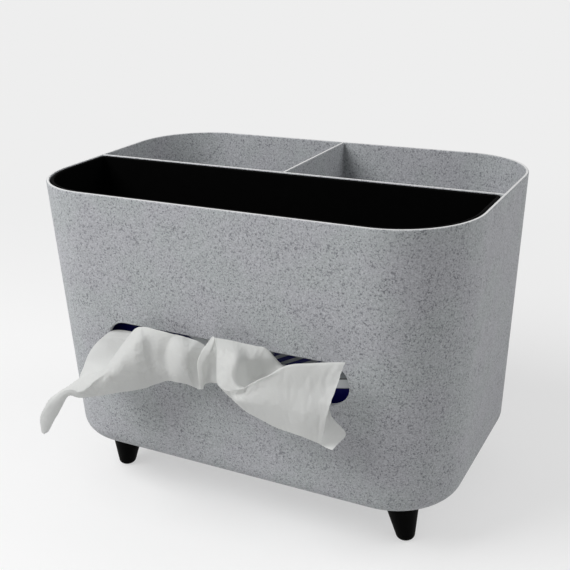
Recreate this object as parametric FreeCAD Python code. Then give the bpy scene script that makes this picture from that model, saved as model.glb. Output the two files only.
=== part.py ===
import FreeCAD, Part
import math
import os
from FreeCAD import Vector

# Tissue box with a lift-out tray.
#
# One moulded plastic body on four screwed-on feet holds everything. A partition splits it into a
# front chamber and a rear half, and a divider splits the rear half into two open compartments.
# A tissue refill stands on edge in the front chamber and gives its sheets through a slot in the
# front wall. A shallow tray drops into the same chamber from above, over the refill, and stands
# on four ribs of the end walls. It lifts straight out when a new refill goes in.
#
# Millimetres. X runs left to right, -Y is the front, +Z is up. The origin is on the table,
# midway between the four feet.

# ---- body: one moulding with walls that lean out towards the rim (draft) ----
WIDTH = 220.0  # left to right, outside, at the rim
DEPTH = 143.0  # front to back, outside, at the rim
BODY_HEIGHT = 137.0  # underside of the floor to the rim
CORNER_RADIUS = 38.5  # upright corners, outside, at the rim
DRAFT_DEG = 2.28  # lean of each wall from upright
BASE_ROUNDING = 8.7  # outside edge between the walls and the floor
WALL = 1.6
FLOOR = 2.4
RIM_ROUNDING = 0.6  # edges of the rim and of the partition's top

# ---- partition and divider: part of the body moulding ----
PARTITION_Y = -2.5  # middle of the partition
PARTITION_THICKNESS = 1.6
DIVIDER_X = 0.0  # middle of the divider
DIVIDER_THICKNESS = 1.6

# ---- tissue slot in the front wall, with round ends ----
SLOT_LENGTH = 127.0
SLOT_HEIGHT = 20.5
SLOT_ABOVE_BASE = 63.5  # underside of the floor to the middle of the slot
SLOT_ROUNDING = 0.5  # outside edge of the slot

# ---- lift-out tray ----
TRAY_HEIGHT = 36.0
TRAY_WALL = 1.6
TRAY_FLOOR = 1.8
TRAY_GAP = 0.5  # between the tray and the chamber's walls
TRAY_BELOW_RIM = 0.2
TRAY_BACK_CORNER = 2.6  # radius of the two upright corners at the partition
TRAY_BASE_ROUNDING = 2.6
TRAY_EDGE_ROUNDING = 0.6

# ---- ribs on the end walls that carry the tray ----
RIB_REFILL_GAP = 2.0  # from a rib to the end of the refill
RIB_THICKNESS = 1.8
RIB_SETBACK = 14.0  # from the front wall and from the partition

# ---- feet: plain tapered legs, each pulled up onto a boss by one screw from inside ----
FOOT_HEIGHT = 25.0
FOOT_FROM_END = 31.6  # middle of a foot to the end of the rim
FOOT_FROM_FRONT = 29.3  # middle of a foot to the front or back of the rim
FOOT_TOP_DIAMETER = 19.0
FOOT_END_DIAMETER = 8.4
FOOT_SPLAY = 3.2  # how far the lower end stands outwards
FOOT_END_ROUNDING = 2.5
BOSS_DIAMETER = 11.0
BOSS_DEPTH = 3.0
BOSS_GAP = 0.1
SCREW_DIAMETER = 3.0
SCREW_LENGTH = 13.0  # under the head
SCREW_HEAD_DIAMETER = 6.0
SCREW_HEAD_HEIGHT = 1.9
SCREW_HOLE_GAP = 0.2  # round the shank, in the boss
SCREW_HEAD_GAP = 0.3  # round the head, in its counterbore
SCREW_PILOT_GAP = 0.05  # round the shank, in the foot
SCREW_PILOT_EXTRA = 2.0  # pilot hole deeper than the screw
SCREW_SEAT = 2.0  # material that the head pulls down on
CROSS_LENGTH = 3.4
CROSS_WIDTH = 0.8
CROSS_DEPTH = 1.1

# ---- tissue refill: a stack of folded sheets in a thin film bag, as long as the round
# corners of the chamber let it be ----
REFILL_FLOOR_GAP = 0.3
REFILL_FRONT_GAP = 8.0  # to the front wall, at the floor
REFILL_CORNER_GAP = 1.5  # to the chamber's round corners, at the floor
REFILL_BACK_GAP = 2.0
REFILL_HEADROOM = 1.5  # under the tray
REFILL_CORNER = 7.0
REFILL_ROUNDING = 5.0
FILM = 0.4
FILM_SLACK = 0.3  # between the film and the stack
SLIT_LENGTH = 98.0
SLIT_HEIGHT = 13.0
SLIT_BELOW_SLOT = 2.5  # middle of the slit under the middle of the slot

# ---- drawn tissue: the sheet that comes out of the slot and hangs in front of the wall ----
TISSUE_THICKNESS = 1.6
TISSUE_ROOT_GAP = 0.3  # to the face of the stack
TISSUE_SLOT_MARGIN = 5.0  # from the sheet to each round end of the slot and of the slit
TISSUE_LEAD = 4.0  # how far it comes straight out of the slot before it rises
TISSUE_MEETS_OUT = 11.2  # where it reaches the hanging part, forwards from the wall
TISSUE_MEETS_UP = 11.0  # and up from the slot's middle
TISSUE_BULGE = 0.14  # how far each section of the hanging part curves forwards, per length
# The hanging part, from left to right. Each station is (across, forwards at the top, up at the
# top, forwards at the free edge, up at the free edge), from the slot's middle in the front wall.
TISSUE_STATIONS = [
    (-95.0, 20.0, -42.0, 18.0, -50.5),
    (-80.0, 24.0, -22.5, 22.0, -32.5),
    (-68.0, 25.0, -14.0, 25.0, -20.5),
    (-55.0, 20.0, -5.0, 24.0, -18.0),
    (-42.0, 10.5, 11.0, 19.0, -15.0),
    (-20.0, 10.0, 13.0, 14.0, -8.0),
    (4.0, 10.0, 16.5, 14.0, -7.0),
    (12.0, 11.0, 16.0, 21.0, -2.0),
    (30.0, 12.0, 15.0, 22.0, -11.0),
    (57.0, 12.0, 16.5, 18.0, -18.5),
    (67.0, 11.0, 18.0, 11.5, 10.0),
]

# ---- levels and places that follow from the sizes above ----
FOOT_X = WIDTH / 2 - FOOT_FROM_END
FOOT_Y = DEPTH / 2 - FOOT_FROM_FRONT
BASE_Z = FOOT_HEIGHT
FLOOR_Z = BASE_Z + FLOOR
RIM_Z = BASE_Z + BODY_HEIGHT
SLOT_Z = BASE_Z + SLOT_ABOVE_BASE
SLIT_Z = SLOT_Z - SLIT_BELOW_SLOT
TRAY_TOP_Z = RIM_Z - TRAY_BELOW_RIM
TRAY_BOTTOM_Z = TRAY_TOP_Z - TRAY_HEIGHT
PARTITION_FRONT_Y = PARTITION_Y - PARTITION_THICKNESS / 2
TILT = math.tan(math.radians(DRAFT_DEG))
CLEAR_OF_ALL = 50.0  # how far a cutting block runs past what it cuts
FEET = {
    "front_left": (-1, -1),
    "front_right": (1, -1),
    "rear_left": (-1, 1),
    "rear_right": (1, 1),
}


def half_width(z, inwards=0.0):
    """Half the body's outside width at height z, less a distance inwards."""
    return WIDTH / 2 - (RIM_Z - z) * TILT - inwards


def half_depth(z, inwards=0.0):
    """Half the body's outside depth at height z, less a distance inwards."""
    return DEPTH / 2 - (RIM_Z - z) * TILT - inwards


def box(x0, x1, y0, y1, z0, z1):
    return Part.makeBox(x1 - x0, y1 - y0, z1 - z0, Vector(x0, y0, z0))


def rounded_outline(x0, x1, y0, y1, radius, z):
    """A closed wire: a rectangle with four round corners, level at height z."""
    lean = radius * (1 - math.sqrt(0.5))
    sides = [
        ((x0 + radius, y0), (x1 - radius, y0)),
        ((x1, y0 + radius), (x1, y1 - radius)),
        ((x1 - radius, y1), (x0 + radius, y1)),
        ((x0, y1 - radius), (x0, y0 + radius)),
    ]
    corners = [
        (x1 - lean, y0 + lean),
        (x1 - lean, y1 - lean),
        (x0 + lean, y1 - lean),
        (x0 + lean, y0 + lean),
    ]
    edges = []
    for i, (start, end) in enumerate(sides):
        following = sides[(i + 1) % 4][0]
        edges.append(Part.makeLine(Vector(*start, z), Vector(*end, z)))
        arc = Part.Arc(Vector(*end, z), Vector(*corners[i], z), Vector(*following, z))
        edges.append(arc.toShape())
    return Part.Wire(edges)


def body_outline(z, inwards):
    """The body's level section at height z, moved in from its outside face."""
    x, y = half_width(z, inwards), half_depth(z, inwards)
    radius = CORNER_RADIUS - (WIDTH / 2 - x)
    return rounded_outline(-x, x, -y, y, radius, z)


def drafted_block(z0, z1, inwards):
    """A solid with the body's lean and corners, from z0 up to z1."""
    return Part.makeLoft([body_outline(z0, inwards), body_outline(z1, inwards)], True, True)


def lies_at(edge, z):
    """Whether an edge lies level at height z."""
    limits = edge.BoundBox
    return abs(limits.ZMin - z) < 1e-4 and abs(limits.ZMax - z) < 1e-4


def level_edges(shape, z):
    return [edge for edge in shape.Edges if lies_at(edge, z)]


def upright_cylinder(radius, x, y, z0, z1):
    return Part.makeCylinder(radius, z1 - z0, Vector(x, y, z0))


def stadium_prism(length, height, middle_z, y0, y1):
    """A bar with round ends that lies along X, cut from y0 to y1: a slot's shape."""
    radius = height / 2
    reach = length / 2 - radius
    bar = box(-reach, reach, y0, y1, middle_z - radius, middle_z + radius)
    ends = [
        Part.makeCylinder(radius, y1 - y0, Vector(x, y0, middle_z), Vector(0, 1, 0))
        for x in (-reach, reach)
    ]
    return bar.fuse(ends).removeSplitter()


# ---------------------------------------------------------------- body


def rib_places():
    """The (y0, y1) of the ribs on one end wall."""
    front = -half_depth(FLOOR_Z, WALL) + RIB_SETBACK
    back = PARTITION_FRONT_Y - RIB_SETBACK
    return [(front, front + RIB_THICKNESS), (back - RIB_THICKNESS, back)]


def inner_walls():
    """What stands inside the body's hollow: partition, divider and tray ribs."""
    wide, deep = WIDTH, DEPTH
    partition = box(
        -wide, wide, PARTITION_FRONT_Y, PARTITION_FRONT_Y + PARTITION_THICKNESS, BASE_Z, RIM_Z
    )
    divider = box(
        DIVIDER_X - DIVIDER_THICKNESS / 2,
        DIVIDER_X + DIVIDER_THICKNESS / 2,
        PARTITION_Y,
        deep,
        BASE_Z,
        RIM_Z,
    )
    rib_tip = refill_reach() + RIB_REFILL_GAP
    ribs = []
    for y0, y1 in rib_places():
        ribs.append(box(-wide, -rib_tip, y0, y1, BASE_Z, TRAY_BOTTOM_Z))
        ribs.append(box(rib_tip, wide, y0, y1, BASE_Z, TRAY_BOTTOM_Z))
    return partition.fuse([divider] + ribs)


def body_shell():
    outside = drafted_block(BASE_Z, RIM_Z, 0.0)
    outside = outside.makeFillet(BASE_ROUNDING, level_edges(outside, BASE_Z))
    hollow = drafted_block(FLOOR_Z, RIM_Z, WALL)
    hollow = hollow.makeFillet(BASE_ROUNDING - WALL, level_edges(hollow, FLOOR_Z))
    shell = outside.cut(hollow.cut(inner_walls()))
    shell = shell.makeFillet(RIM_ROUNDING, level_edges(shell, RIM_Z))

    front_y = -half_depth(SLOT_Z)
    chamber_middle_y = (front_y + PARTITION_FRONT_Y) / 2
    slot = stadium_prism(
        SLOT_LENGTH, SLOT_HEIGHT, SLOT_Z, front_y - CLEAR_OF_ALL, chamber_middle_y
    )
    shell = shell.cut(slot)
    shell = shell.makeFillet(SLOT_ROUNDING, slot_edges(shell))

    for side, end in FEET.values():
        x, y = side * FOOT_X, end * FOOT_Y
        boss = upright_cylinder(BOSS_DIAMETER / 2, x, y, BASE_Z - BOSS_DEPTH, FLOOR_Z)
        shell = shell.fuse(boss)
        head_hole = SCREW_HEAD_DIAMETER / 2 + SCREW_HEAD_GAP
        shank_hole = SCREW_DIAMETER / 2 + SCREW_HOLE_GAP
        seat_z = screw_seat_z()
        shell = shell.cut(upright_cylinder(head_hole, x, y, seat_z, RIM_Z))
        shell = shell.cut(upright_cylinder(shank_hole, x, y, 0, seat_z))
    return shell.removeSplitter()


def slot_edges(shell):
    """The slot's edges on the outside of the front wall."""
    halfway_y = -half_depth(SLOT_Z, WALL / 2)
    half_length = SLOT_LENGTH / 2 + SLOT_ROUNDING
    half_height = SLOT_HEIGHT / 2 + SLOT_ROUNDING
    found = []
    for edge in shell.Edges:
        limits = edge.BoundBox
        across = max(-limits.XMin, limits.XMax) < half_length
        level = max(SLOT_Z - limits.ZMin, limits.ZMax - SLOT_Z) < half_height
        if across and level and limits.YMax < halfway_y:
            found.append(edge)
    return found


def screw_seat_z():
    """Height of the face that a foot screw's head pulls down on."""
    return BASE_Z - BOSS_DEPTH + SCREW_SEAT


# ---------------------------------------------------------------- tray


def chamber_block(z0, z1, inwards, back_y, rounding, corner):
    """A solid that fits the front chamber: the body's lean and corners, flat at the back."""
    block = drafted_block(z0, z1, inwards)
    behind = box(-WIDTH, WIDTH, back_y, DEPTH, z0 - 1, z1 + 1)
    block = block.cut(behind)
    back_corners = [
        edge
        for edge in block.Edges
        if abs(edge.BoundBox.YMin - back_y) < 1e-4
        and abs(edge.BoundBox.YMax - back_y) < 1e-4
        and edge.BoundBox.ZLength > (z1 - z0) / 2
    ]
    block = block.makeFillet(corner, back_corners)
    return block.makeFillet(rounding, level_edges(block, z0))


def lift_out_tray():
    outer = chamber_block(
        TRAY_BOTTOM_Z,
        TRAY_TOP_Z,
        WALL + TRAY_GAP,
        PARTITION_FRONT_Y - TRAY_GAP,
        TRAY_BASE_ROUNDING,
        TRAY_BACK_CORNER,
    )
    hollow = chamber_block(
        TRAY_BOTTOM_Z + TRAY_FLOOR,
        TRAY_TOP_Z,
        WALL + TRAY_GAP + TRAY_WALL,
        PARTITION_FRONT_Y - TRAY_GAP - TRAY_WALL,
        TRAY_BASE_ROUNDING - TRAY_WALL,
        TRAY_BACK_CORNER - TRAY_WALL,
    )
    tray = outer.cut(hollow)
    return tray.makeFillet(TRAY_EDGE_ROUNDING, level_edges(tray, TRAY_TOP_Z))


# ---------------------------------------------------------------- feet and their screws


def foot(side, end):
    x, y = side * FOOT_X, end * FOOT_Y
    top = Part.Wire(Part.makeCircle(FOOT_TOP_DIAMETER / 2, Vector(x, y, BASE_Z)))
    low_end = Vector(x + side * FOOT_SPLAY, y, 0)
    bottom = Part.Wire(Part.makeCircle(FOOT_END_DIAMETER / 2, low_end))
    leg = Part.makeLoft([bottom, top], True, True)
    leg = leg.makeFillet(FOOT_END_ROUNDING, level_edges(leg, 0))
    socket_z = BASE_Z - BOSS_DEPTH - BOSS_GAP
    leg = leg.cut(upright_cylinder(BOSS_DIAMETER / 2 + BOSS_GAP, x, y, socket_z, BASE_Z))
    pilot_end = screw_seat_z() - SCREW_LENGTH - SCREW_PILOT_EXTRA
    pilot = upright_cylinder(SCREW_DIAMETER / 2 + SCREW_PILOT_GAP, x, y, pilot_end, BASE_Z)
    return leg.cut(pilot)


def foot_screw(side, end):
    x, y = side * FOOT_X, end * FOOT_Y
    seat = screw_seat_z()
    top = seat + SCREW_HEAD_HEIGHT
    head = upright_cylinder(SCREW_HEAD_DIAMETER / 2, x, y, seat, top)
    head = head.makeFillet(SCREW_HEAD_HEIGHT / 3, level_edges(head, top))
    shank = upright_cylinder(SCREW_DIAMETER / 2, x, y, seat - SCREW_LENGTH, seat)
    shank = shank.makeChamfer(SCREW_DIAMETER / 5, level_edges(shank, seat - SCREW_LENGTH))
    long, short = CROSS_LENGTH / 2, CROSS_WIDTH / 2
    recess = box(x - long, x + long, y - short, y + short, top - CROSS_DEPTH, top)
    recess = recess.fuse(box(x - short, x + short, y - long, y + long, top - CROSS_DEPTH, top))
    return head.fuse(shank).removeSplitter().cut(recess)


# ---------------------------------------------------------------- tissue refill


def refill_reach():
    """Half the refill's length: its front corners stop just clear of the chamber's corners."""
    chamber_x = half_width(FLOOR_Z, WALL)
    radius = CORNER_RADIUS - (WIDTH / 2 - chamber_x)
    centre_x = chamber_x - radius
    between_centres = radius - REFILL_CORNER_GAP - REFILL_CORNER
    forwards = radius - REFILL_FRONT_GAP - REFILL_CORNER
    sideways = math.sqrt(between_centres**2 - forwards**2)
    return centre_x + sideways + REFILL_CORNER


def refill_front_y():
    """The face of the film bag that looks at the slot."""
    return -half_depth(FLOOR_Z, WALL) + REFILL_FRONT_GAP


def refill_block(inwards):
    """The refill's shape, moved in by a distance."""
    x = refill_reach() - inwards
    front = refill_front_y() + inwards
    back = PARTITION_FRONT_Y - REFILL_BACK_GAP - inwards
    low = FLOOR_Z + REFILL_FLOOR_GAP + inwards
    high = TRAY_BOTTOM_Z - REFILL_HEADROOM - inwards
    outline = rounded_outline(-x, x, front, back, REFILL_CORNER - inwards, low)
    block = Part.Face(outline).extrude(Vector(0, 0, high - low))
    ends = level_edges(block, low) + level_edges(block, high)
    return block.makeFillet(REFILL_ROUNDING - inwards, ends)


def refill_film():
    bag = refill_block(0.0).cut(refill_block(FILM))
    slit_end_y = refill_front_y() + REFILL_CORNER
    return bag.cut(stadium_prism(SLIT_LENGTH, SLIT_HEIGHT, SLIT_Z, -DEPTH, slit_end_y))


def paper_stack():
    return refill_block(FILM + FILM_SLACK)


def hanging_section(station):
    """A closed upright section of the hanging part: a thin strip that curves forwards."""
    across, top_out, top_up, edge_out, edge_up = station
    front_y = -half_depth(SLOT_Z)
    top = Vector(across, front_y - top_out, SLOT_Z + top_up)
    edge = Vector(across, front_y - edge_out, SLOT_Z + edge_up)
    middle = (top + edge) * 0.5 - Vector(0, TISSUE_BULGE * (top - edge).Length, 0)
    back = Vector(0, TISSUE_THICKNESS, 0)
    outside = Part.Arc(top, middle, edge).toShape()
    inside = Part.Arc(edge + back, middle + back, top + back).toShape()
    low_end = Part.makeLine(edge, edge + back)
    high_end = Part.makeLine(top + back, top)
    return Part.Wire([outside, low_end, inside, high_end])


def drawn_tissue():
    """A thin sheet from the face of the stack, through slit and slot, and down in front."""
    hanging = Part.makeLoft([hanging_section(station) for station in TISSUE_STATIONS], True, True)
    front_y = -half_depth(SLOT_Z)
    root_y = refill_front_y() + FILM + FILM_SLACK - TISSUE_ROOT_GAP
    upper = [
        (root_y, SLIT_Z),
        (front_y - TISSUE_LEAD, SLIT_Z),
        (front_y - TISSUE_MEETS_OUT, SLOT_Z + TISSUE_MEETS_UP),
    ]
    lower = [(y, z - TISSUE_THICKNESS) for y, z in reversed(upper)]
    slot_reach = (SLOT_LENGTH - SLOT_HEIGHT) / 2 - TISSUE_SLOT_MARGIN
    slit_reach = (SLIT_LENGTH - SLIT_HEIGHT) / 2 - TISSUE_SLOT_MARGIN
    reach = min(slot_reach, slit_reach)
    outline = [Vector(-reach, y, z) for y, z in upper + lower + upper[:1]]
    strip = Part.Face(Part.makePolygon(outline)).extrude(Vector(2 * reach, 0, 0))
    return hanging.fuse(strip)


def main():
    os.makedirs("parts", exist_ok=True)
    nodes = {
        "body_shell": body_shell(),
        "lift_out_tray": lift_out_tray(),
        "refill_film": refill_film(),
        "paper_stack": paper_stack(),
        "drawn_tissue": drawn_tissue(),
    }
    for place, (side, end) in FEET.items():
        nodes["foot_" + place] = foot(side, end)
        nodes["foot_screw_" + place] = foot_screw(side, end)
    for name, shape in nodes.items():
        shape.exportStep("parts/" + name + ".step")
        limits = shape.BoundBox
        print(
            f"{name}: {len(shape.Solids)} solid, valid {shape.isValid()}, {shape.Volume:.0f} mm3,"
            f" x {limits.XMin:.1f}..{limits.XMax:.1f}, y {limits.YMin:.1f}..{limits.YMax:.1f},"
            f" z {limits.ZMin:.1f}..{limits.ZMax:.1f}"
        )


main()
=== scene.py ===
# %% [markdown]
# # A tissue box with a lift-out tray
# The box is one speckled plastic moulding on four black feet. A black tray lies in its front
# chamber, over a refill of tissues, and one sheet hangs out of a slot in the front wall. The
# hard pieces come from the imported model, which already has their exact shape, so they only need
# their finish. The soft pieces, which are the bag, the stack and the drawn sheet, are made here.

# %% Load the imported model
import math

import bmesh
import bpy
from mathutils import Matrix, Vector, noise


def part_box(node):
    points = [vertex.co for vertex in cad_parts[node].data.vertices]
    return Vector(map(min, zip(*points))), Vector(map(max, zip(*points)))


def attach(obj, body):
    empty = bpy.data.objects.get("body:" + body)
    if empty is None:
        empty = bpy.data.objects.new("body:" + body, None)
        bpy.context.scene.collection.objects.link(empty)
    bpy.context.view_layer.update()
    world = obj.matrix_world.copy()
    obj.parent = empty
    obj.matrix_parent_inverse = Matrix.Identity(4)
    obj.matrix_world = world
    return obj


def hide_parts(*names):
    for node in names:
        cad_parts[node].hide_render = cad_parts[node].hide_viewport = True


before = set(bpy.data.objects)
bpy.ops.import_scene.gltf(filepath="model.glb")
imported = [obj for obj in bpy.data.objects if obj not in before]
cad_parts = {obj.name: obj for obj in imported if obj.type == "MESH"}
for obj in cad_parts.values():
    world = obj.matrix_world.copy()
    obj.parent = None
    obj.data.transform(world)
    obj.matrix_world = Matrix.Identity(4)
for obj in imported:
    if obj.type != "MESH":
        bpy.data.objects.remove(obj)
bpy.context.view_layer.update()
MM = 0.001
print("nodes:", ", ".join(sorted(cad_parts)))

# %% [markdown]
# ## Measures that the finishes need
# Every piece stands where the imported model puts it, so heights and lengths are read from the
# boxes of its nodes and not typed in again.

# %% Read the main sizes
RIM_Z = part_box("body_shell")[1].z
bag_low, bag_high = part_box("refill_film")
stack_low, stack_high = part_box("paper_stack")
print(f"rim at {RIM_Z / MM:.1f} mm")
for name, size in (("bag", bag_high - bag_low), ("stack", stack_high - stack_low)):
    print(name, " x ".join(f"{side / MM:.1f}" for side in size), "mm")

# %% [markdown]
# ## A short way to write a node tree
# A material is a graph of nodes, and so is a Geometry Nodes tree. Written out link by link they
# are hard to read, so a small class wraps a socket and takes over Python's arithmetic:
# `1 - mask` adds the Math node that does it. Every other node comes from one method, which sets
# the node up first and fills its sockets after that.

# %% Sockets that take part in arithmetic
class Wire:
    """The output of a node. Sums and products of wires add Math nodes to the same graph."""

    def __init__(self, graph, socket):
        self.graph = graph
        self.socket = socket

    def __add__(self, other):
        return self.graph.math("ADD", self, other)

    def __sub__(self, other):
        return self.graph.math("SUBTRACT", self, other)

    def __rsub__(self, other):
        return self.graph.math("SUBTRACT", other, self)

    def __mul__(self, other):
        return self.graph.math("MULTIPLY", self, other)

    def __truediv__(self, other):
        return self.graph.math("DIVIDE", self, other)

    def __rtruediv__(self, other):
        return self.graph.math("DIVIDE", other, self)

    __radd__ = __add__
    __rmul__ = __mul__

    def sine(self):
        return self.graph.math("SINE", self)

    def smooth_step(self, low, high):
        """0 below low, 1 above high, with a soft rise between them."""
        return self.graph.node(
            "ShaderNodeMapRange",
            {"interpolation_type": "SMOOTHSTEP"},
            {"Value": self, "From Min": low, "From Max": high},
        )

    def within(self, rise, fall):
        """1 between a soft rise and a soft fall, and 0 outside them."""
        return self.smooth_step(*rise) * (1 - self.smooth_step(*fall))


# %% A graph that is built by calls
class Graph:
    """A tree of nodes, for a material, the world or Geometry Nodes."""

    def __init__(self, tree):
        self.tree = tree

    def node(self, kind, settings=None, inputs=None, output=0):
        """Adds a node: its settings first, then its sockets. Returns one of its outputs."""
        made = self.tree.nodes.new(kind)
        for name, value in (settings or {}).items():
            setattr(made, name, value)
        for name, value in (inputs or {}).items():
            self.fill(made.inputs[name], value)
        return Wire(self, made.outputs[output])

    def fill(self, socket, value):
        if isinstance(value, Wire):
            self.tree.links.new(value.socket, socket)
        else:
            socket.default_value = value

    def math(self, operation, *values):
        return self.node("ShaderNodeMath", {"operation": operation}, dict(enumerate(values)))

    def axis(self, vector, name):
        """The X, Y or Z of a vector."""
        return self.node("ShaderNodeSeparateXYZ", inputs={0: vector}, output=name)

    def vector(self, **axes):
        return self.node("ShaderNodeCombineXYZ", inputs=axes)


# %% A material that is built by calls
class Finish(Graph):
    """One material: a Principled shader, and the nodes that feed it."""

    def __init__(self, name, **fixed):
        self.material = bpy.data.materials.new(name)
        self.material.use_nodes = True
        super().__init__(self.material.node_tree)
        self.shader = self.tree.nodes["Principled BSDF"]
        for socket, value in fixed.items():
            self.set(socket.replace("_", " "), value)

    def set(self, name, value):
        self.fill(self.shader.inputs[name], value)

    def place(self):
        """Position on the piece, in metres."""
        return self.node("ShaderNodeTexCoord", output="Object")

    def noise(self, grain, detail=2.0, distortion=0.0):
        """Cloudy noise whose features are about grain metres across."""
        return self.node(
            "ShaderNodeTexNoise",
            inputs={
                "Vector": self.place(),
                "Scale": 1 / grain,
                "Detail": detail,
                "Distortion": distortion,
            },
        )

    def mix(self, factor, first, second):
        """A colour between two colours."""
        return self.node(
            "ShaderNodeMix",
            {"data_type": "RGBA"},
            {"Factor": factor, 6: first, 7: second},
            output=2,
        )

    def bump(self, height, depth, strength):
        """Feeds the shader's normal from a height between 0 and 1, depth metres deep."""
        normal = self.node(
            "ShaderNodeBump", inputs={"Height": height, "Distance": depth, "Strength": strength}
        )
        self.set("Normal", normal)

    def cover(self, factor, other):
        """Lets another shader show in place of the Principled one, by a factor."""
        mixed = self.node(
            "ShaderNodeMixShader",
            inputs={0: factor, 1: Wire(self, self.shader.outputs[0]), 2: other},
        )
        self.fill(self.tree.nodes["Material Output"].inputs["Surface"], mixed)


def grey(level, warmth=0.0):
    """A linear grey, a little warm above 0 and a little cool below it."""
    return (level * (1 + warmth), level, level * (1 - warmth), 1.0)


def give(node_name, finish):
    """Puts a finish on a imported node, in place of its plain material."""
    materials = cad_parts[node_name].data.materials
    materials.clear()
    materials.append(finish.material)


print("ready to write materials")

# %% [markdown]
# ## The speckled moulding
# The body is moulded from a pale plastic with dark flakes mixed in. The flakes sit at random
# through the whole wall, so the pattern is three-dimensional noise read at the point's own
# position: it runs round the corners without a seam. Two sizes of noise are cut off high, so
# that only their peaks show as flakes. The top faces of the rim and of the inner walls are
# coloured nearly white, a painted highlight for the light that falls on them.

# %% Speckled plastic
BODY_GREY = (0.450, 0.474, 0.482, 1.0)
BODY_VIOLET = (0.460, 0.465, 0.492, 1.0)
FLAKE_GREY = (0.140, 0.142, 0.160, 1.0)
PALE_GREY = (0.600, 0.612, 0.636, 1.0)
# painted highlight: the walls' top faces near the rim height are coloured near white for the light
# they catch
RIM_PAINTED_HIGHLIGHT = grey(0.80)
RIM_HIGHLIGHT_DEPTH = 0.12 * MM
# size, the noise at which a flake starts and at which it is full, and how much it covers
FLAKE, FLAKE_CUT, FLAKE_COVER = 0.95 * MM, (0.53, 0.67), 0.8
FINE_FLAKE, FINE_CUT, FINE_COVER = 0.6 * MM, (0.49, 0.67), 0.54
PALE_FLECK, PALE_CUT, PALE_COVER = 0.8 * MM, (0.47, 0.66), 0.62
CROWD_PATCH, CROWD_CUT, CROWD_LEAST = 7 * MM, (0.3, 0.7), 0.65
TINT_PATCH, TINT_CUT = 25 * MM, (0.35, 0.65)
SKIN_GRAIN, SKIN_DEPTH = 0.35 * MM, 0.03 * MM


def make_speckle():
    finish = Finish("speckled_plastic", Specular_IOR_Level=0.35)
    cloud = finish.noise(CROWD_PATCH, detail=3)
    flakes = finish.noise(FLAKE, detail=2, distortion=0.5).smooth_step(*FLAKE_CUT)
    fine = finish.noise(FINE_FLAKE, detail=1.5).smooth_step(*FINE_CUT)
    pale = finish.noise(PALE_FLECK, detail=1.5).smooth_step(*PALE_CUT)
    crowding = cloud.smooth_step(*CROWD_CUT) * (1 - CROWD_LEAST) + CROWD_LEAST
    tint = finish.noise(TINT_PATCH, detail=2).smooth_step(*TINT_CUT)
    colour = finish.mix(tint, BODY_GREY, BODY_VIOLET)
    colour = finish.mix(pale * PALE_COVER, colour, PALE_GREY)
    colour = finish.mix(flakes * crowding * FLAKE_COVER, colour, FLAKE_GREY)
    colour = finish.mix(fine * crowding * FINE_COVER, colour, FLAKE_GREY)
    height = finish.axis(finish.place(), "Z")
    # the top faces within a thin band under the rim height take the painted highlight colour
    rim = height.smooth_step(RIM_Z - RIM_HIGHLIGHT_DEPTH, RIM_Z - RIM_HIGHLIGHT_DEPTH / 3)
    finish.set("Base Color", finish.mix(rim, colour, RIM_PAINTED_HIGHLIGHT))
    finish.set("Roughness", 0.52 + cloud * 0.12 - flakes * 0.05)
    finish.bump(finish.noise(SKIN_GRAIN, detail=2), SKIN_DEPTH, 0.5)
    return finish


give("body_shell", make_speckle())
print("speckle: flakes of", FLAKE / MM, "and", FINE_FLAKE / MM, "mm")

# %% [markdown]
# ## The black plastics
# The tray is a deep matt black with the fine grain that a spark-eroded mould leaves, and the
# feet are a little smoother. The two materials differ only in their numbers, so one function
# makes both.

# %% Tray and feet
FEET = ("front_left", "front_right", "rear_left", "rear_right")
BLACK_CLOUD = 6 * MM


def make_black(name, level, shine, roughness, grain, depth):
    """Black plastic: level is its darkest grey, and grain the size of the mould's texture."""
    finish = Finish(name, Specular_IOR_Level=shine)
    cloud = finish.noise(BLACK_CLOUD, detail=3)
    finish.set("Base Color", finish.mix(cloud, grey(level), grey(level * 1.6)))
    finish.set("Roughness", roughness + cloud * 0.12)
    finish.bump(finish.noise(grain, detail=2), depth, 0.6)
    return finish


give("lift_out_tray", make_black(
    "tray_black", level=0.0011, shine=0.035, roughness=0.5, grain=0.3 * MM, depth=0.03 * MM
))
foot_finish = make_black(
    "foot_black", level=0.0008, shine=0.02, roughness=0.45, grain=0.5 * MM, depth=0.01 * MM
)
for foot in FEET:
    give("foot_" + foot, foot_finish)
print("black plastic on the tray and", len(FEET), "feet")

# %% [markdown]
# ## Steel screws
# Each foot is held by a screw from inside the box. Zinc plating is a bright metal that is never
# quite even, so fine noise moves both its colour and its roughness.

# %% Zinc-plated steel
ZINC_DARK, ZINC_LIGHT = grey(0.5, -0.02), grey(0.72, -0.01)
MARK_WIDTH, MARK_DEPTH = 0.15 * MM, 0.01 * MM


def make_zinc():
    finish = Finish("zinc_plate", Metallic=1.0)
    marks = finish.noise(MARK_WIDTH, detail=3)
    finish.set("Base Color", finish.mix(marks, ZINC_DARK, ZINC_LIGHT))
    finish.set("Roughness", 0.28 + marks * 0.2)
    finish.bump(marks, MARK_DEPTH, 0.4)
    return finish


zinc = make_zinc()
for foot in FEET:
    give("foot_screw_" + foot, zinc)
print("zinc on", len(FEET), "screws")
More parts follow.
